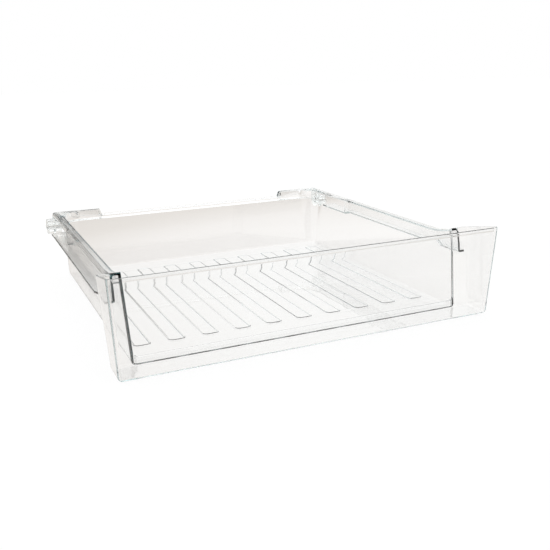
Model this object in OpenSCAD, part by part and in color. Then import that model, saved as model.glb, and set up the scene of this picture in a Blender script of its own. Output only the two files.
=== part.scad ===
// Fridge deli drawer: a clear one-piece moulded tray with an open-topped front trough,
// rolled side rims with skirts and slide rails, and two rollers at its rear corners.
// Millimetres, +Z up, +X to the right seen from the front, +Y towards the back of the fridge.
// The origin is at the middle of the drawer's footprint, on the surface it stands on.

/* [Front trough] */
// Width of the fascia along its top edge
fascia_w = 450; // [400:1:500]
// Height of the fascia
fascia_h = 105; // [98:1:120]
// Narrowing of the fascia at its foot, on each side
fascia_taper = 5.2; // [2:0.1:8]
// Set-back of the fascia's foot behind its top edge
fascia_lean = 5; // [2:0.5:8]
// Depth of the trough at the top of its rear wall
trough_d = 55.4; // [45:0.2:65]
// Depth of the trough at its foot
trough_foot_d = 40.5; // [32:0.5:44]
// Height of the trough's rear wall beside the tray
shoulder_h = 95; // [92:0.5:97]
// Height of the low sill between the trough and the tray floor
sill_h = 10; // [6:0.5:16]
// Radius of the trough's outer corners and foot
trough_r = 4.5; // [4:0.5:8]

/* [Tray] */
// Depth of the whole drawer, front to back
drawer_d = 427; // [380:1:470]
// Inner width of the tray at its rim
tray_w = 399; // [350:1:410]
// Inward draft of each side wall over its height
side_draft = 3.4; // [1:0.2:6]
// Inward draft of the rear wall over its height
rear_draft = 8; // [4:0.5:12]
// Height of the side rims and of the raised rear corners
rim_h = 87.5; // [84:0.5:90]
// Height of the rear wall between the raised corners
rear_h = 80; // [79:0.5:82]
// Wall thickness of the moulding
wall = 2.3; // [2.1:0.1:2.7]
// Thickness of the tray floor
floor_t = 2.4; // [2:0.1:3]
// Inner radius of the rear corners at the rim
corner_r_top = 27; // [20:1:32]
// Inner radius of the rear corners at the floor
corner_r_foot = 11; // [8:1:16]

/* [Rims and rails] */
// Distance from the tray's inside to the outer face of a side rim
rim_w = 11; // [10:0.5:12]
// Width of the rolled flange along the raised rear corners
ear_d = 12.5; // [10:0.5:14]
// Length of each raised rear corner along the rear wall
ear_w = 67; // [50:1:90]
// Height of the top face of the slide rails
rail_h = 68.4; // [60:0.4:72]
// Distance from the middle of the drawer to a rail's outer edge
rail_x = 220.5; // [218:0.5:222]
// Length of the deep skirt behind the trough
skirt_l = 254; // [200:1:280]
// Length of the rail behind the skirt's end
rail_tail_l = 67; // [40:1:70]

/* [Floor ribs] */
// Number of raised strips across the floor
rib_n = 10; // [6:2:10]
// Distance between the middles of two strips
rib_pitch = 38.9; // [34:0.1:39.2]
// Length of a strip
rib_l = 291; // [200:1:300]
// Height of a strip above the floor
rib_t = 0.7; // [0.4:0.1:1.5]

/* [Rollers] */
// Diameter of a roller
roller_d = 20.8; // [18:0.2:22]
// Width of a roller
roller_w = 18; // [14:0.5:19]
// Diameter of the moulded stub axle
axle_d = 6; // [5:0.5:7]
// Radial clearance between the stub axle and the roller's bore
bore_gap = 0.08; // [0.02:0.01:0.1]
// Number of spokes in a roller
spoke_n = 6; // [3:1:8]

/* [Hidden] */
$fn = 64;
hull_fn = 32;
slice = 0.01;
over = 1;

// The trough: half-widths, lip and rear plane
fascia_half = fascia_w / 2;
fascia_foot_half = fascia_half - fascia_taper;
crown_start = 18;
crown_step = 3;
crown_k = 0.000134;
trough_inner_r = 1.2;
trough_rear_r = 4;
inner_rear_r = 1.5;
bead_h = 5;
bead_t = 0.9;
sill_corner_r = 5;

// The tray: half-widths at foot and rim, and its foot fillets
tray_top_h = shoulder_h + 2;
tray_half = tray_w / 2;
tray_foot_half = tray_half - side_draft;
rear_y = drawer_d - ear_d;
rear_foot_y = rear_y - rear_draft;
front_corner_r = 3.5;
foot_r = 5;
foot_inner_r = 1;
foot_steps = 3;
ledge_z = 76;
ledge_d = 3.5;
ledge_side = 0.4;
ledge_l = 60;

// The side rims and their rise to the shoulder
rim_t = 2.4;
rim_r = 4;
rim_inner_r = 1.9;
skirt_run = 0.8;
rim_over = 0.4;
rise_end = 100;
rise_n = 9;
rim_start = trough_d - 2.2;
skirt_x = tray_half + rim_w;
skirt_end = trough_d + skirt_l;
lip_l = 6;
web_t = 2.6;
arc_n = 5;

// The rails
rail_t = 2.4;
skirt_z = rail_h - rail_t / 2;
rail_start = 50;
rail_step = 4;
rail_step_y = 80;
rail_step_l = 10;
rail_end = skirt_end + rail_tail_l;

// The raised rear corners
ear_x = tray_half - ear_w + 12;
ear_skirt = 11;
ear_slant = 3.5;
ear_cover = 0.8;
rear_lip_t = 2.2;
rear_lip_d = 4.5;
rear_lip_r = 1.1;
plate_lead = 1.7;

// The floor ribs
rib_r = 5.5;
rib_start = 84.5;
rib_sunk = 0.4;
rib_edge = 60;
rib_steps = 3;

// The rollers and their stub axles
axle_y = 409.5;
axle_z = 71;
axle_root_x = 201;
roller_x = 202.6;
roller_gap = 0.35;
bracket_t = 2.6;
bracket_half = 9;
snap_r = 0.22;
snap_l = 1.1;
tread_t = 2;
hub_r = 5.4;
disc_t = 1.8;
spoke_t = 1.5;

clear_tint = [0.86, 0.90, 0.90, 0.45];
roller_tint = [0.90, 0.96, 0.96, 0.8];

// Straight blend between two values over a height
function mix(low, high, t) = low + (high - low) * t;

// Points of an arc about a centre, from one angle to another
function arc(centre, r, from, to, n = arc_n) =
    [for (i = [0:n]) let (a = from + (to - from) * i / n) centre + r * [cos(a), sin(a)]];

// Half-width of the fascia, its front face and the trough's rear plane at a height
function fascia_half_at(z) = mix(fascia_foot_half, fascia_half, z / fascia_h);
function crown(z) = z > fascia_h - crown_start ? crown_k * pow(z - fascia_h + crown_start, 3) : 0;
crown_front = min([for (z = [fascia_h - crown_start : crown_step : fascia_h])
    fascia_lean * (1 - z / fascia_h) + crown(z)]);
function fascia_front_at(z) = fascia_lean * (1 - z / fascia_h) - crown_front;
function trough_rear_at(z) = mix(trough_foot_d, trough_d, z / shoulder_h);

// Inner half-width, rear face and rear corner radius of the tray at a height
function tray_half_at(z) = mix(tray_foot_half, tray_half, z / rim_h);
function tray_rear_at(z) = mix(rear_foot_y, rear_y, z / rim_h);
function corner_r_at(z) = mix(corner_r_foot, corner_r_top, z / rim_h);

// Height of a side rim along the drawer: level, then a smooth rise to the shoulder
function rim_rise(y) = y >= rise_end ? 0
    : (shoulder_h - rim_h) * pow((rise_end - y) / (rise_end - rim_start), 2);

// Stations along the rise of a side rim
function rise_y(i) = mix(rim_start, rise_end, i / rise_n);

// A point of a side rim's section at a station; the first one lies within the trough's slanted wall
function rim_point(s, p) = [p[0], s[0] == rim_start ? trough_rear_at(p[1]) - wall / 2 : s[0], p[1]];

// End of a raised rear corner at a height: it slants towards the middle at its foot
function ear_end_x(z) = ear_x - ear_slant * (rim_h - z) / ear_skirt;

// Faces of a skin over rings of points, closed at both ends
function skin(count, rings) =
    let (last = (rings - 1) * count)
    concat(
        [[for (i = [0:count - 1]) i]],
        [for (k = [0:rings - 2]) for (i = [0:count - 1])
            let (a = k * count + i, b = k * count + (i + 1) % count) [a, a + count, b + count, b]],
        [[for (i = [0:count - 1]) last + count - 1 - i]]);

// Thin rounded outline at a height, the building slice of the tapered shells
module outline(z, half, front, rear, r_front, r_rear) {
    for (side = [-1, 1]) {
        translate([side * (half - r_front), front + r_front, z])
            cylinder(r = r_front, h = slice, $fn = hull_fn);
        translate([side * (half - r_rear), rear - r_rear, z])
            cylinder(r = r_rear, h = slice, $fn = hull_fn);
    }
}

// Profile drawn in the Y-Z plane and carried along X
module along_x(x0, x1) {
    translate([x0, 0, 0]) rotate([90, 0, 90]) linear_extrude(x1 - x0) children();
}

// Profile drawn in the X-Z plane and carried along Y
module along_y(y0, y1) {
    translate([0, y1, 0]) rotate([90, 0, 0]) linear_extrude(y1 - y0) children();
}

// Tapered shell of the trough, solid: a fascia that crowns back near its top edge
module trough_body(inset, foot) {
    r = inset > 0 ? trough_inner_r : trough_r;
    levels = concat(
        [for (i = [0:foot_steps]) let (a = 90 * i / foot_steps)
            [foot + r * (1 - sin(a)), r * (1 - cos(a))]],
        [for (z = [fascia_h - crown_start : crown_step : fascia_h + (inset > 0 ? crown_step : 0)]) [z, 0]]);
    hull() for (level = levels) {
        z = level[0];
        shrink = inset + level[1];
        outline(z, fascia_half_at(z) - shrink,
            fascia_front_at(z) + (inset > 0 ? 0 : crown(z)) + shrink,
            trough_rear_at(z) - shrink,
            max(trough_r - shrink, 1), max((inset > 0 ? inner_rear_r : trough_rear_r) - level[1], 0.5));
    }
}

// Tapered shell of the tray, solid: drafted walls and conical rear corners
module tray_body(grow, foot, front) {
    r = grow > 0 ? foot_r : foot_inner_r;
    levels = concat(
        [for (i = [0:foot_steps]) let (a = 90 * i / foot_steps)
            [foot + r * (1 - sin(a)), r * (1 - cos(a))]],
        [[tray_top_h + (grow > 0 ? 0 : over), 0]]);
    hull() for (level = levels) {
        z = level[0];
        shrink = level[1] - grow;
        outline(z, tray_half_at(z) - shrink,
            trough_rear_at(z) + front,
            tray_rear_at(z) - shrink,
            front_corner_r, corner_r_at(z) - shrink);
    }
}

// Upper stretch of the rear wall and its corners, solid: it is set back behind a narrow ledge
module upper_body(grow) {
    hull() for (z = [ledge_z - grow, tray_top_h + (grow > 0 ? 0 : over)])
        outline(z, tray_half_at(z) - ledge_side + grow,
            rear_y - ledge_l,
            tray_rear_at(z) + ledge_d + grow,
            front_corner_r, corner_r_at(z) + grow);
}

// Everything above the trough's sloping top edge
module trough_top_cut() {
    along_x(-fascia_w, fascia_w)
        polygon([[-over, fascia_h], [wall + over, fascia_h], [trough_d, shoulder_h],
            [drawer_d, shoulder_h], [drawer_d, fascia_h + 2 * over], [-over, fascia_h + 2 * over]]);
}

// Everything above the walls of the tray: level rims, the rise to the front, the low rear wall
module tray_top_cut() {
    sunk = rim_t / 2;
    along_x(-fascia_w, fascia_w)
        polygon(concat(
            [[0, shoulder_h - sunk]],
            [for (i = [0:rise_n]) [rise_y(i), rim_h + rim_rise(rise_y(i)) - sunk]],
            [[drawer_d + over, rim_h - sunk], [drawer_d + over, fascia_h + over], [0, fascia_h + over]]));
    low = rear_h - rear_lip_t / 2;
    along_y(rear_y - corner_r_top, drawer_d + over)
        polygon([[-ear_end_x(low) - ear_cover, low], [ear_end_x(low) + ear_cover, low],
            [ear_end_x(fascia_h) + ear_cover, fascia_h], [-ear_end_x(fascia_h) - ear_cover, fascia_h]]);
}

// The way from the trough into the tray, over the low sill
module front_opening() {
    low = tray_half_at(sill_h) - sill_corner_r;
    high = tray_half_at(tray_top_h);
    along_y(trough_foot_d / 2, trough_d + over)
        polygon(concat(
            arc([low, sill_h + sill_corner_r], sill_corner_r, -90, -3),
            [[high, tray_top_h + over], [-high, tray_top_h + over]],
            arc([-low, sill_h + sill_corner_r], sill_corner_r, 183, 270)));
}

// Open-topped trough with its fascia, end returns, foot and rear wall
module trough() {
    difference() {
        trough_body(0, 0);
        difference() {
            trough_body(wall, wall);
            // thicker bead along the inside of the fascia's top edge
            along_x(-fascia_half + trough_r + wall, fascia_half - trough_r - wall)
                translate([fascia_front_at(fascia_h) + wall - bead_h + bead_t, fascia_h - bead_h / 2])
                    circle(r = bead_h);
        }
        trough_top_cut();
    }
}

// Cross-section of a side rim: inner edge, rolled top, outer corner and skirt
function rim_section(skirt_z, rise) =
    let (x0 = tray_half - rim_over, top = rim_h + rise)
    concat(
        [[x0, top - rim_t]],
        arc([x0 + rim_inner_r, top - rim_inner_r], rim_inner_r, 180, 90, 3),
        arc([skirt_x - rim_r, top - rim_r], rim_r, 90, 0),
        [[skirt_x, skirt_z], [skirt_x - rim_t, skirt_z]],
        arc([skirt_x - rim_r, top - rim_r], rim_r - rim_t, 0, 90, 3));

// Side rim swept along the drawer: from the shoulder down to the level stretch with its deep
// skirt, then with a short lip to the raised corner
module side_rim() {
    stations = concat(
        [for (i = [0:rise_n]) [rise_y(i), skirt_z]],
        [[skirt_end, skirt_z], [skirt_end + skirt_run, rim_h - lip_l], [drawer_d - rim_r, rim_h - lip_l]]);
    points = [for (s = stations) for (p = rim_section(s[1], rim_rise(s[0]))) rim_point(s, p)];
    polyhedron(points, skin(len(rim_section(skirt_z, 0)), len(stations)), convexity = 8);
}

// Slide rail from the trough, outside the skirt and then straight off the tray wall, and the web
// that closes the skirt's end
module rail() {
    root = tray_half_at(rail_h) + wall / 2;
    translate([0, 0, rail_h - rail_t])
        linear_extrude(rail_t)
            polygon(concat(
                [[skirt_x - rim_t / 2, rail_start], [rail_x - rail_step, rail_start],
                    [rail_x - rail_step, rail_step_y], [rail_x, rail_step_y + rail_step_l]],
                arc([rail_x - rim_r, rail_end - rim_r], rim_r, 0, 90),
                [[root, rail_end], [root, skirt_end - web_t], [skirt_x - rim_t / 2, skirt_end - web_t]]));
    along_y(skirt_end - web_t, skirt_end)
        polygon([[root, rail_h - rail_t / 2], [skirt_x - rim_t / 2, rail_h - rail_t / 2],
            [skirt_x - rim_t / 2, rim_h - rim_t / 2], [root, rim_h - rim_t / 2]]);
}

// Space beyond the slanted end of a raised rear corner, moved along the flange by a step
module ear_end(step) {
    low = rim_h - ear_skirt - 2 * over;
    high = rim_h + over;
    along_y(rear_y - over, drawer_d + over)
        polygon([[0, low], [ear_end_x(low) + step, low], [ear_end_x(high) + step, high], [0, high]]);
}

// Rolled flange of a raised rear corner: a profile along the rear wall, hollow from below and
// closed by a slanted end
module ear() {
    front = rear_y + ledge_d - rim_over;
    start = ear_x - 2 * ear_slant;
    end = skirt_x - rim_r;
    difference() {
        along_x(start, end)
            polygon(concat(
                [[front, rim_h - ear_skirt]],
                arc([front + rim_inner_r, rim_h - rim_inner_r], rim_inner_r, 180, 90, 3),
                arc([drawer_d - rim_r, rim_h - rim_r], rim_r, 90, 0),
                [[drawer_d, rim_h - ear_skirt]]));
        ear_end(0);
        difference() {
            along_x(start, end + over)
                polygon(concat(
                    [[rear_y, rim_h - ear_skirt - over], [rear_y, rim_h - rim_t]],
                    arc([drawer_d - rim_r, rim_h - rim_r], rim_r - rim_t, 90, 0, 3),
                    [[drawer_d - rim_t, rim_h - ear_skirt - over]]));
            ear_end(rim_t);
        }
    }
}

// Solid quarter turn that closes the outer corner of the rolled flange
module ear_corner() {
    translate([skirt_x - rim_r, drawer_d - rim_r, 0])
        intersection() {
            rotate_extrude()
                polygon(concat([[0, rim_h - rim_t], [0, rim_h]],
                    arc([0, rim_h - rim_r], rim_r, 90, 0),
                    [[rim_r, rim_h - ear_skirt], [rim_r - rim_t, rim_h - ear_skirt]],
                    arc([0, rim_h - rim_r], rim_r - rim_t, 0, 90, 3)));
            cube([2 * rim_r, 2 * rim_r, fascia_h]);
        }
}

// Plate over the conical corner, between the tray wall and the rolled flange
module ear_plate() {
    inner = tray_half - corner_r_top;
    rear_inner = rear_y - corner_r_top;
    translate([0, 0, rim_h - rim_t])
        linear_extrude(rim_t)
            polygon(concat(
                [[skirt_x - rim_r, drawer_d - rim_r]],
                [[inner, drawer_d - rim_r]],
                arc([inner, rear_inner], corner_r_top - rim_over, 90, 0, 10),
                [[inner + corner_r_top - rim_over, rear_inner - plate_lead]],
                [[skirt_x - rim_r, rear_inner - plate_lead]]));
}

// Small rolled lip along the low middle stretch of the rear wall
module rear_lip() {
    front = tray_rear_at(rear_h) + ledge_d - rim_over;
    back = front + wall + rear_lip_d;
    along_x(-ear_x - over, ear_x + over)
        polygon(concat(
            [[front, rear_h - rear_lip_t]],
            arc([front + rim_inner_r, rear_h - rim_inner_r], rim_inner_r, 180, 90, 3),
            arc([back - rear_lip_r, rear_h - rear_lip_r], rear_lip_r, 90, -90)));
}

// Outline of a raised strip with rounded ends, pulled in on all sides
function strip_outline(pull) =
    let (half = rib_pitch / 4 - pull, r = rib_r - pull, end = rib_l - pull)
    concat(
        arc([half - r, pull + r], r, -90, 0),
        arc([half - r, end - r], r, 0, 90),
        arc([r - half, end - r], r, 90, 180),
        arc([r - half, pull + r], r, 180, 270));

// Raised strips on the tray floor, with sides that lean in and round over to a flat top
module floor_ribs() {
    edge_r = rib_t / (1 - cos(rib_edge));
    layers = concat(
        [[floor_t - rib_sunk, -rib_sunk / tan(rib_edge)]],
        [for (i = [1:rib_steps]) let (a = rib_edge * (1 - i / rib_steps))
            [floor_t + rib_t - edge_r * (1 - cos(a)), edge_r * (sin(rib_edge) - sin(a))]]);
    points = [for (layer = layers) for (p = strip_outline(layer[1])) [p[0], p[1], layer[0]]];
    for (i = [0:rib_n - 1])
        translate([(i - (rib_n - 1) / 2) * rib_pitch, rib_start, 0])
            polyhedron(points, skin(len(strip_outline(0)), len(layers)));
}

// Bracket hung under the raised corner, with the stub axle and its snap ring
module roller_seat() {
    end = roller_x + roller_w + roller_gap;
    along_x(roller_x - roller_gap - bracket_t, roller_x - roller_gap)
        polygon(concat(
            [[axle_y + bracket_half, rim_h - rim_t / 2], [axle_y - bracket_half, rim_h - rim_t / 2]],
            arc([axle_y, axle_z], axle_d, 200, 340, 8)));
    translate([axle_root_x - bracket_t / 2, axle_y, axle_z])
        rotate([0, 90, 0]) cylinder(d = axle_d, h = end + snap_l - axle_root_x + bracket_t / 2);
    translate([end, axle_y, axle_z])
        rotate([0, 90, 0]) cylinder(r1 = axle_d / 2 + snap_r, r2 = axle_d / 2 - snap_r, h = snap_l);
}

// The clear moulding, all of one piece
module drawer_tray() {
    color(clear_tint)
        translate([0, -drawer_d / 2, 0]) {
            difference() {
                union() {
                    difference() {
                        union() {
                            tray_body(wall, 0, -wall / 2);
                            upper_body(wall);
                        }
                        tray_top_cut();
                    }
                    trough();
                    for (side = [0, 1]) mirror([side, 0, 0]) {
                        side_rim();
                        rail();
                        ear();
                        ear_corner();
                        ear_plate();
                        roller_seat();
                    }
                    rear_lip();
                }
                tray_body(0, floor_t, 0);
                upper_body(0);
                front_opening();
            }
            floor_ribs();
        }
}

// Spoked roller on its bore, lying along X and open at both ends
module roller() {
    rotate([0, 90, 0])
        difference() {
            union() {
                difference() {
                    cylinder(d = roller_d, h = roller_w);
                    translate([0, 0, -over]) cylinder(r = roller_d / 2 - tread_t, h = roller_w + 2 * over);
                }
                cylinder(r = hub_r, h = roller_w);
                translate([0, 0, (roller_w - disc_t) / 2]) cylinder(r = roller_d / 2 - tread_t / 2, h = disc_t);
                for (i = [0:spoke_n - 1]) rotate([0, 0, i * 360 / spoke_n])
                    translate([hub_r - over, -spoke_t / 2, over])
                        cube([roller_d / 2 - tread_t / 2 - hub_r + over, spoke_t, roller_w - 2 * over]);
            }
            translate([0, 0, -over]) cylinder(r = axle_d / 2 + bore_gap, h = roller_w + 2 * over);
        }
}

module right_roller() {
    color(roller_tint)
        translate([roller_x, axle_y - drawer_d / 2, axle_z]) roller();
}

module left_roller() {
    color(roller_tint)
        translate([-roller_x - roller_w, axle_y - drawer_d / 2, axle_z]) roller();
}

drawer_tray();
left_roller();
right_roller();
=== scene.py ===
# %% [markdown]
# # A clear fridge deli drawer
# The drawer is one water-clear moulding with two small rollers at its rear corners. The packed
# model is loaded first: it holds the real sizes, and every piece made here rides on its bodies.

import math

import bmesh
import bpy
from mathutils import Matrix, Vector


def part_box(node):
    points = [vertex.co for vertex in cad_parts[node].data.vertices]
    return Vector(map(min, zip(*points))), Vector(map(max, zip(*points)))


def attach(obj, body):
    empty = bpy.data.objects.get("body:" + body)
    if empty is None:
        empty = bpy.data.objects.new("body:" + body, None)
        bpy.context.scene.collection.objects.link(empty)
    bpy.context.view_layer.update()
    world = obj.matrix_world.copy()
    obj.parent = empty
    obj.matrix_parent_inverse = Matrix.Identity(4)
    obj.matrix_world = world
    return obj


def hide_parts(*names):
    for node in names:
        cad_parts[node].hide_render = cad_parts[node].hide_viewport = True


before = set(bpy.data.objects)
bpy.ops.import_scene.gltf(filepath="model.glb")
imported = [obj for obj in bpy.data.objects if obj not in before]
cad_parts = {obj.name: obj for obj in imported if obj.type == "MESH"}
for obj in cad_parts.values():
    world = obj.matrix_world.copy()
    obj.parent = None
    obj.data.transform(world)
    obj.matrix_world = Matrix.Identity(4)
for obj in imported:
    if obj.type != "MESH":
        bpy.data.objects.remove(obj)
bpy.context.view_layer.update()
scene = bpy.context.scene

# %% [markdown]
# ## The camera
# The photograph was taken from the front left, a little above the drawer. A lens of about 48 mm on
# a 36 mm sensor gives the same perspective, so the far rim shrinks by the right amount.

# %% Place the camera
CAMERA_PLACE = (-0.3478, -0.8504, 0.2971)
CAMERA_TURN = (73.29, 0.785, -24.73)
CAMERA_LENS = 47.98
CAMERA_SENSOR = 36


def add_camera():
    data = bpy.data.cameras.new("camera")
    data.lens = CAMERA_LENS
    data.sensor_width = CAMERA_SENSOR
    camera = bpy.data.objects.new("camera", data)
    camera.location = CAMERA_PLACE
    camera.rotation_euler = [math.radians(a) for a in CAMERA_TURN]
    scene.collection.objects.link(camera)
    scene.camera = camera


add_camera()
print("camera", CAMERA_PLACE, "lens", CAMERA_LENS)

# %% [markdown]
# ## Writing materials as sums
# A material is a small network of nodes. Building it link by link is hard to read, so one class
# wraps a node's socket and lets it take part in ordinary sums: `1 - mask` adds a Math node. A
# second class makes every other node, from its type, its settings and its sockets.


# %% A socket that can be used in sums
class Sock:
    def __init__(self, mat, out):
        self.mat = mat
        self.out = out

    def math(self, operation, a, b):
        return self.mat.node("ShaderNodeMath", {"operation": operation}, {0: a, 1: b})

    def __sub__(self, other):
        return self.math("SUBTRACT", self, other)

    def __rsub__(self, other):
        return self.math("SUBTRACT", other, self)

    def __mul__(self, other):
        return self.math("MULTIPLY", self, other)

    def __rmul__(self, other):
        return self.math("MULTIPLY", other, self)


print("a socket can be subtracted and multiplied")

# %% Make any node
# A new stop starts anywhere on the ramp and then gets its own place.
ANY_PLACE = 0.5


def set_stops(node, stops):
    bar = node.color_ramp.elements
    while len(bar) < len(stops):
        bar.new(ANY_PLACE)
    for element, (place, colour) in zip(bar, stops):
        element.position = place
        element.color = colour


class Mat:
    def __init__(self, owner):
        owner.use_nodes = True
        self.tree = owner.node_tree
        self.tree.nodes.clear()

    def node(self, kind, settings=None, sockets=None, out=0):
        made = self.tree.nodes.new(kind)
        for name, value in (settings or {}).items():
            if name == "stops":
                set_stops(made, value)
            else:
                setattr(made, name, value)
        for key, value in (sockets or {}).items():
            if isinstance(value, Sock):
                self.tree.links.new(value.out, made.inputs[key])
            else:
                made.inputs[key].default_value = value
        return Sock(self, made.outputs[out]) if made.outputs else made

    def mix(self, share, a, b):
        # A Mix node's colours are its sockets 6 and 7, and its blended colour is output 2.
        return self.node("ShaderNodeMix", {"data_type": "RGBA"}, {0: share, 6: a, 7: b}, out=2)

    def rise(self, value, span):
        smooth = {"interpolation_type": "SMOOTHSTEP"}
        return self.node("ShaderNodeMapRange", smooth, {0: value, 1: span[0], 2: span[1]})


def new_material(name):
    material = bpy.data.materials.new(name)
    return Mat(material), material


print("mix() blends two colours, rise() goes smoothly from 0 to 1")

# %% [markdown]
# ## The studio
# Clear plastic shows only what it bends and reflects. In an all-white room it would vanish, and in
# a dark room it would turn grey. A maker of product pictures keeps the room pale and stands a few
# black cards beside it: every rounded edge bends a card into view and draws itself as a dark line.
# Here the world's colour is worked out from the direction that a ray looks in. One card stands low
# behind the drawer on its left, one low in front, and a brighter panel hangs overhead.

# %% Light the room
ROOM_PALE = (1, 1, 1, 1)
PANEL_BRIGHT = (1.5, 1.5, 1.5, 1)
CARD_BLACK = (0.01, 0.008, 0.008, 1)
PANEL_EDGE = (0.55, 0.65)
SIDE_CARD_EAST = 0.20
SIDE_CARD_FADE = (0.0, 0.08)
SIDE_CARD_NORTH = (0.3, 0.5)
SIDE_CARD_FOOT = (0.0, 0.03)
SIDE_CARD_HEAD = (0.34, 0.50)
FRONT_CARD_SOUTH = (0.3, 0.6)
FRONT_CARD_HEAD = (0.2, 0.35)


def light_room():
    world = bpy.data.worlds.new("studio")
    scene.world = world
    mat = Mat(world)
    look = mat.node("ShaderNodeTexCoord", out="Generated")
    east, north, up = [mat.node("ShaderNodeSeparateXYZ", sockets={0: look}, out=a) for a in "XYZ"]
    beside = mat.rise(SIDE_CARD_EAST - east, SIDE_CARD_FADE) * mat.rise(north, SIDE_CARD_NORTH)
    upright = mat.rise(up, SIDE_CARD_FOOT) * (1 - mat.rise(up, SIDE_CARD_HEAD))
    front = mat.rise(0 - north, FRONT_CARD_SOUTH) * (1 - mat.rise(up, FRONT_CARD_HEAD))
    cards = mat.node("ShaderNodeMath", {"operation": "MAXIMUM"}, {0: beside * upright, 1: front})
    room = mat.mix(mat.rise(up, PANEL_EDGE), ROOM_PALE, PANEL_BRIGHT)
    seen = mat.node("ShaderNodeLightPath", out="Is Camera Ray")
    tone = mat.mix(seen, mat.mix(cards, room, CARD_BLACK), ROOM_PALE)
    backdrop = mat.node("ShaderNodeBackground", sockets={"Color": tone, "Strength": 1.0})
    mat.node("ShaderNodeOutputWorld", sockets={"Surface": backdrop})
    return len(mat.tree.nodes)


print("studio nodes", light_room())

# %% [markdown]
# ## The floor
# The drawer stands on plain white paper. A lamp could light a pool on it, but a glow in the floor's
# own material is free of noise. The glow is brightest at the drawer's right front and falls off to
# a warm grey behind, which the walls pick up as a faint beige: its tone is a ramp on the distance
# from the pool's middle. The camera itself sees plain white. A small share of diffuse white keeps
# the drawer's shadow.

# %% Lay the floor
FLOOR_SIZE = 12.0
FLOOR_DROP = 0.0002
GLOW_SHARE = 0.94
PAPER_WHITE = (1, 1, 1, 1)
POOL_MIDDLE = (0.35, -0.20, 0)
POOL_TONES = [
    (0.40, (0.98, 0.962, 0.945, 1)),
    (0.64, (0.90, 0.87, 0.845, 1)),
    (0.78, (0.79, 0.75, 0.71, 1)),
    (1.0, (0.70, 0.66, 0.62, 1)),
]


def floor_material():
    mat, material = new_material("floor_white")
    place = mat.node("ShaderNodeTexCoord", out="Object")
    distance = {"operation": "DISTANCE"}
    away = mat.node("ShaderNodeVectorMath", distance, {0: place, 1: POOL_MIDDLE}, out="Value")
    pool = mat.node("ShaderNodeValToRGB", {"stops": POOL_TONES}, {0: away})
    seen = mat.node("ShaderNodeLightPath", out="Is Camera Ray")
    tone = mat.mix(seen, pool, PAPER_WHITE)
    glow = mat.node("ShaderNodeEmission", sockets={"Color": tone, "Strength": 1.0})
    matt = mat.node("ShaderNodeBsdfDiffuse", sockets={"Color": PAPER_WHITE})
    both = mat.node("ShaderNodeMixShader", sockets={0: GLOW_SHARE, 1: matt, 2: glow})
    mat.node("ShaderNodeOutputMaterial", sockets={"Surface": both})
    return material


def lay_floor():
    bpy.ops.object.select_all(action="DESELECT")
    bpy.ops.mesh.primitive_plane_add(size=FLOOR_SIZE, location=(0, 0, -FLOOR_DROP))
    floor = bpy.context.object
    floor.name = "floor"
    floor.data.materials.append(floor_material())
    return floor


print("floor", lay_floor().dimensions.x, "m wide")

# %% [markdown]
# ## Clear plastic
# Transmission lets light through, and the index of refraction bends it. A thin volume absorption
# tints the long ways through the plastic, so cut edges look darker than the walls. Melt that sets in
# a mould is never quite flat, so a slow noise in a Bump node bends the light a little everywhere.
# The rollers get the same plastic with a paler tint.

# %% Mix the clear plastic
PLASTIC_IOR = 1.52
WAVE_SCALE = 14.0
WAVE_DETAIL = 1.0
WAVE_STRENGTH = 0.06
WAVE_HEIGHT = 0.002
TRAY_TINT = (0.25, 0.5, 0.52, 1)
TRAY_DENSITY = 8.0
ROLLER_TINT = (0.75, 0.9, 0.9, 1)
ROLLER_DENSITY = 14.0


def clear_plastic(name, tint, density):
    mat, material = new_material(name)
    place = mat.node("ShaderNodeTexCoord", out="Object")
    grain = {"Vector": place, "Scale": WAVE_SCALE, "Detail": WAVE_DETAIL}
    wave = mat.node("ShaderNodeTexNoise", sockets=grain)
    flow = {"Strength": WAVE_STRENGTH, "Distance": WAVE_HEIGHT, "Height": wave}
    body = mat.node(
        "ShaderNodeBsdfPrincipled",
        sockets={
            "Base Color": (1, 1, 1, 1),
            "Roughness": 0.0,
            "IOR": PLASTIC_IOR,
            "Transmission Weight": 1.0,
            "Normal": mat.node("ShaderNodeBump", sockets=flow),
        },
    )
    soak = mat.node("ShaderNodeVolumeAbsorption", sockets={"Color": tint, "Density": density})
    mat.node("ShaderNodeOutputMaterial", sockets={"Surface": body, "Volume": soak})
    return material


tray_plastic = clear_plastic("clear_tray_plastic", TRAY_TINT, TRAY_DENSITY)
roller_plastic = clear_plastic("clear_roller_plastic", ROLLER_TINT, ROLLER_DENSITY)
print("plastics", tray_plastic.name, roller_plastic.name)

# %% [markdown]
# ## Picking edges and faces by place
# A person clicks on the edge to be rounded. A script has no mouse, so it looks through all edges and
# keeps those that pass a test on their place, length or angle.


# %% Pick edges and faces
def enter_edit(piece):
    bpy.ops.object.select_all(action="DESELECT")
    piece.select_set(True)
    bpy.context.view_layer.objects.active = piece
    bpy.ops.object.mode_set(mode="EDIT")


def pick(piece, mode, wanted):
    bpy.ops.mesh.select_mode(type=mode)
    bpy.ops.mesh.select_all(action="DESELECT")
    shape = bmesh.from_edit_mesh(piece.data)
    parts = shape.edges if mode == "EDGE" else shape.faces
    chosen = [part for part in parts if wanted(part)]
    for part in chosen:
        part.select = True
    bmesh.update_edit_mesh(piece.data)
    return len(chosen)


def climb(edge):
    return abs(edge.verts[0].co.z - edge.verts[1].co.z)


print("edges and faces are picked by a test")

# %% [markdown]
# ## A copy of the moulding
# The CAD node has the true shape, but its mesh is loose triangles. It could be modelled again by
# hand, which would only lose accuracy. A copy is made instead, its points are merged and its flat
# triangles are joined into whole faces, because only an edge between whole faces can be rounded.

# %% Copy a node
MERGE = 0.00003
FLAT_ANGLE = math.radians(0.6)


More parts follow.
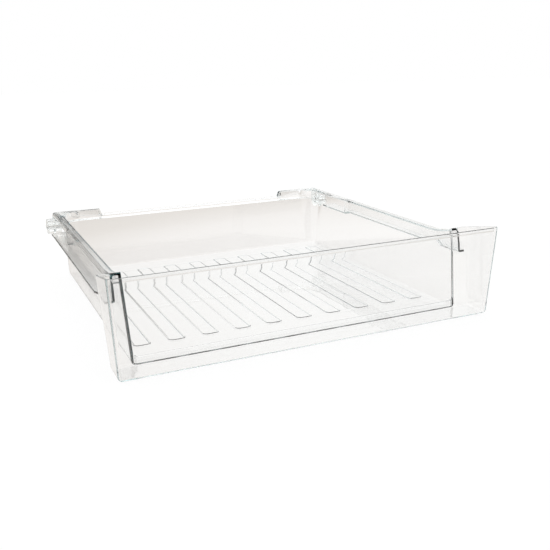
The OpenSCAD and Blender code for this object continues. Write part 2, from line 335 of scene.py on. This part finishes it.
def copy_node(node, name):
    piece = bpy.data.objects.new(name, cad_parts[node].data.copy())
    scene.collection.objects.link(piece)
    enter_edit(piece)
    bpy.ops.mesh.select_all(action="SELECT")
    bpy.ops.mesh.remove_doubles(threshold=MERGE)
    bpy.ops.mesh.dissolve_limited(angle_limit=FLAT_ANGLE)
    bpy.ops.object.mode_set(mode="OBJECT")
    return piece


tray = copy_node("drawer_tray", "clear_tray")
print("tray faces", len(tray.data.polygons))

# %% [markdown]
# ## The block that presses the strips
# A moulded floor keeps one thickness, so each raised strip has a shallow groove below it. The groove
# could be sunk face by face, but one block of its shape is quicker: a cube whose upright edges are
# rounded and whose top is inset in three steps, which follow the round of the strip's edge. The
# strip's side leans, so on each side the groove is narrower than the strip, by the floor's thickness
# times the tangent of half the side's steepest angle.

# %% Model one block
TO_MM = 1000
STRIP_COUNT = 10
STRIP_PITCH = 0.0389
STRIP_WIDTH = STRIP_PITCH / 2
STRIP_START = 0.0845
STRIP_LENGTH = 0.291
STRIP_HEIGHT = 0.0007
STRIP_CORNER = 0.0055
STRIP_STEEP = math.radians(60)
FLOOR_THICK = 0.0024
SIDE_STEPS = 3
CORNER_STEPS = 6
BLOCK_DEEP = 0.003
FACING_UP = 0.9
TRAY_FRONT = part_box("drawer_tray")[0].y


def round_top():
    edge_round = STRIP_HEIGHT / (1 - math.cos(STRIP_STEEP))
    for i in range(SIDE_STEPS):
        steep = STRIP_STEEP * (1 - i / SIDE_STEPS)
        flatter = STRIP_STEEP * (1 - (i + 1) / SIDE_STEPS)
        bpy.ops.mesh.inset(
            thickness=edge_round * (math.sin(steep) - math.sin(flatter)),
            depth=edge_round * (math.cos(flatter) - math.cos(steep)),
        )


def groove_block():
    pull = FLOOR_THICK * math.tan(STRIP_STEEP / 2)
    first = -(STRIP_COUNT - 1) / 2 * STRIP_PITCH
    middle = TRAY_FRONT + STRIP_START + STRIP_LENGTH / 2
    bpy.ops.object.select_all(action="DESELECT")
    bpy.ops.mesh.primitive_cube_add(
        size=1,
        location=(first, middle, -BLOCK_DEEP / 2),
        scale=(STRIP_WIDTH - 2 * pull, STRIP_LENGTH - 2 * pull, BLOCK_DEEP),
    )
    block = bpy.context.object
    bpy.ops.object.transform_apply(location=True, rotation=False, scale=True)
    enter_edit(block)
    pick(block, "EDGE", lambda edge: climb(edge) > BLOCK_DEEP / 2)
    bpy.ops.mesh.bevel(offset=STRIP_CORNER - pull, segments=CORNER_STEPS, affect="EDGES")
    pick(block, "FACE", lambda face: face.normal.z > FACING_UP)
    round_top()
    bpy.ops.object.mode_set(mode="OBJECT")
    return block


block = groove_block()
print("block top at", round(max(corner[2] for corner in block.bound_box) * TO_MM, 2), "mm")

# %% [markdown]
# ## Pressing the row of strips
# An Array modifier repeats the block at the strips' pitch, and a Boolean takes the row out of the
# floor. The block is then no longer needed. Some faces round the ledge are L-shaped, and Blender
# may fill such a face on the wrong side of its notch, so they are split into simple ones.

# %% Press the strips
row = block.modifiers.new("row", "ARRAY")
row.count = STRIP_COUNT
row.use_relative_offset = False
row.use_constant_offset = True
row.constant_offset_displace = (STRIP_PITCH, 0, 0)
bpy.ops.object.modifier_apply(modifier="row")

bpy.context.view_layer.objects.active = tray
cut = tray.modifiers.new("grooves", "BOOLEAN")
cut.operation = "DIFFERENCE"
cut.solver = "EXACT"
cut.object = block
bpy.ops.object.modifier_apply(modifier="grooves")
bpy.data.objects.remove(block)

enter_edit(tray)
bpy.ops.mesh.select_all(action="SELECT")
bpy.ops.mesh.vert_connect_concave()
bpy.ops.object.mode_set(mode="OBJECT")
print("tray faces with grooves", len(tray.data.polygons))

# %% [markdown]
# ## Rounding the free edges
# A mould never leaves a knife edge, and on clear plastic the rounds matter more than the faces: each
# one gathers the room into a thin dark or bright line. One Bevel modifier on all sharp edges would
# be stopped everywhere by the tightest corner, so each long free edge is picked by its place and
# bevelled by its own width, in metres.

# %% Find and round edges
SHARP = math.radians(38)
ROUND_STEPS = 4
NEARLY_LEVEL = 0.3


def is_sharp(edge):
    return edge.is_manifold and edge.calc_face_angle(0) > SHARP


def within(value, span):
    return span[0] <= value <= span[1]


def round_edges(piece, width, steps, wanted):
    enter_edit(piece)
    count = pick(piece, "EDGE", wanted)
    if count:
        bpy.ops.mesh.bevel(
            offset=width, segments=steps, affect="EDGES", clamp_overlap=False, miter_outer="ARC"
        )
    bpy.ops.object.mode_set(mode="OBJECT")
    return count


def round_free(name, width, across, along, upright, slope=NEARLY_LEVEL):
    def wanted(edge):
        return (
            is_sharp(edge)
            and edge.is_convex
            and climb(edge) <= slope * edge.calc_length()
            and all(within(abs(vertex.co.x), across) for vertex in edge.verts)
            and all(within(vertex.co.y - TRAY_FRONT, along) for vertex in edge.verts)
            and all(within(vertex.co.z, upright) for vertex in edge.verts)
        )

    print(name, round_edges(tray, width, ROUND_STEPS, wanted), "edges by", width * TO_MM, "mm")


print("an edge is sharp above", round(math.degrees(SHARP)), "degrees")

# %% [markdown]
# ## Nine groups of edges
# Each group has its place: how far from the middle plane, how far behind the tray's front and how
# high, each from a lowest to a highest value that lie just outside the edge. The left and right
# sides are alike, so one group takes both. The sides of the way into the tray stay sharp, because
# rounding them made the mesh cross itself.

# %% Round the tray's edges
CROWN_SLOPE = 0.35
SKIRT_ACROSS = (0.2075, 0.211)
SHOULDER = 0.0495

round_free(
    "top of the trough",
    width=0.0005,
    across=(0, 0.226),
    along=(0, 0.0545),
    upright=(0.095, 0.106),
    slope=CROWN_SLOPE,
)
round_free(
    "sill",
    width=0.0010,
    across=(0, 0.1925),
    along=(0.039, 0.043),
    upright=(0.0095, 0.0105),
)
round_free(
    "ledge behind the rear wall",
    width=0.0008,
    across=(0, 0.1995),
    along=(0.3635, 0.4195),
    upright=(0.073, 0.0765),
)
round_free(
    "inside of the side rims",
    width=0.0007,
    across=(0.199, 0.2),
    along=(0.0995, 0.3865),
    upright=(0.086, 0.088),
)
round_free(
    "outside of the rails",
    width=0.0007,
    across=(0.216, 0.2215),
    along=(SHOULDER, 0.3735),
    upright=(0.0655, 0.069),
)
round_free(
    "foot of the skirts",
    width=0.0004,
    across=SKIRT_ACROSS,
    along=(SHOULDER, 0.3075),
    upright=(0.0655, 0.068),
)
round_free(
    "foot of the rear skirts",
    width=0.0007,
    across=SKIRT_ACROSS,
    along=(0.3095, 0.424),
    upright=(0.081, 0.082),
)
round_free(
    "foot of the raised corners",
    width=0.0007,
    across=(0.14, 0.207),
    along=(0.4235, 0.4275),
    upright=(0.076, 0.077),
)
round_free(
    "underside of the trough",
    width=0.0009,
    across=(0, 0.1905),
    along=(0.039, 0.04),
    upright=(-0.001, 0.001),
)

# %% [markdown]
# ## Finishing a piece
# Smooth shading follows the rounds, and weighted normals keep the large faces flat beside them. The
# piece then rides on its body, stands in for its CAD node and names its material slot.

# %% Finish the tray
SMOOTH_ANGLE = math.radians(30)
FULL_WEIGHT = 100


def finish_piece(piece, node, body, material):
    bpy.ops.object.select_all(action="DESELECT")
    piece.select_set(True)
    bpy.context.view_layer.objects.active = piece
    bpy.ops.object.shade_smooth_by_angle(angle=SMOOTH_ANGLE)
    weighted = piece.modifiers.new("weighted", "WEIGHTED_NORMAL")
    weighted.mode = "FACE_AREA"
    weighted.weight = FULL_WEIGHT
    weighted.keep_sharp = True
    bpy.ops.object.modifier_apply(modifier="weighted")
    piece.data.materials.clear()
    piece.data.materials.append(material)
    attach(piece, body)
    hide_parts(node)
    print(piece.name, "faces", len(piece.data.polygons))


finish_piece(tray, "drawer_tray", "tray", tray_plastic)

# %% [markdown]
# ## The two rollers
# Each roller is a small spoked wheel that snaps on a stub axle. Its edges are alike, so they are
# rounded together. An edge that a very short smooth edge runs into has no room for the round and
# stays sharp.

# %% Make the rollers
ROLLER_ROUND = 0.0002
ROLLER_STEPS = 2
ROLLER_ROOM = 0.0005


def has_room(edge):
    beside = [other for vertex in edge.verts for other in vertex.link_edges if not is_sharp(other)]
    return all(other.calc_length() > ROLLER_ROOM for other in beside)


for side in ("left", "right"):
    roller = copy_node(side + "_roller", side + "_spoked_roller")
    count = round_edges(roller, ROLLER_ROUND, ROLLER_STEPS, lambda e: is_sharp(e) and has_room(e))
    print(side, "roller edges rounded", count)
    finish_piece(roller, side + "_roller", side + "_roller", roller_plastic)

# %% [markdown]
# ## Finish
# Light crosses many surfaces on its way through the drawer, so a ray may bounce more often than is
# usual.

# %% Finish
BOUNCES = 24
scene.cycles.max_bounces = BOUNCES
scene.cycles.transmission_bounces = BOUNCES
scene.cycles.transparent_max_bounces = BOUNCES
scene.cycles.glossy_bounces = BOUNCES
scene.view_settings.view_transform = "Standard"
